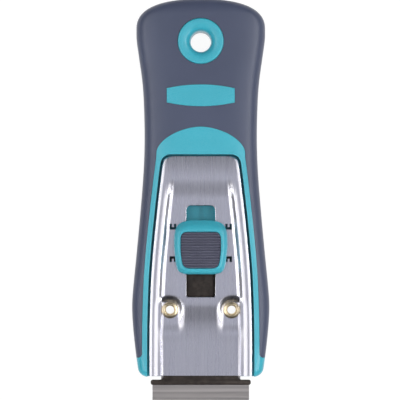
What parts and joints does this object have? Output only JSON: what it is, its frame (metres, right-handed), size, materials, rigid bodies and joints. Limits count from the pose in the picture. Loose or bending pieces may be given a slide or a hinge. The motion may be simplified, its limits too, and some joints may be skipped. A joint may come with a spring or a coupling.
{
  "type": "metal scraper",
  "caption": "Flat hand scraper with a soft grip handle, a steel face plate and a single-edge blade that a thumb slider locks, pushes out and draws in.",
  "frame": {"origin": "under the middle of the tool's length and width, on the surface that its back lies on", "axes": "+Y along the handle from the blade to the hanging hole, +Z out of the face with the thumb slider, +X across"},
  "size_m": [0.055, 0.161, 0.0183],
  "materials": {
    "core_plastic": "satin moulded",
    "grip_rubber": "fine matt",
    "pad_rubber": "ribbed matt",
    "plate_steel": "brushed lengthwise",
    "burnished_steel": "dark burnished",
    "blade_steel": "ground",
    "spine_steel": "rolled",
    "spring_steel": "rolled",
    "brass": "polished"
  },
  "bodies": {
    "handle": {"handle_core": "core_plastic", "handle_grip": "grip_rubber", "face_plate": "plate_steel", "eyelet_left": "brass", "eyelet_right": "brass", "eyelet_washer_left": "brass", "eyelet_washer_right": "brass"},
    "blade_carriage": {"blade_carrier": "burnished_steel", "blade": "blade_steel", "blade_spine": "spine_steel", "return_spring_front": "spring_steel", "return_spring_rear": "spring_steel"},
    "thumb_button": {"thumb_slider": "core_plastic", "thumb_pad": "pad_rubber", "lock_plate": "spring_steel", "slider_clip": "spring_steel"}
  },
  "joints": [
    {"name": "blade_slide", "type": "slide", "parent": "handle", "child": "blade_carriage", "axis": [0, 1, 0], "range_m": [-0.009, 0.013]},
    {"name": "slider_press", "type": "slide", "parent": "blade_carriage", "child": "thumb_button", "axis": [0, 0, -1], "range_m": [0, 0.0009], "stiffness_N_per_m": 600, "springref_m": -0.0015, "deforming": ["return_spring_front", "return_spring_rear"]}
  ]
}
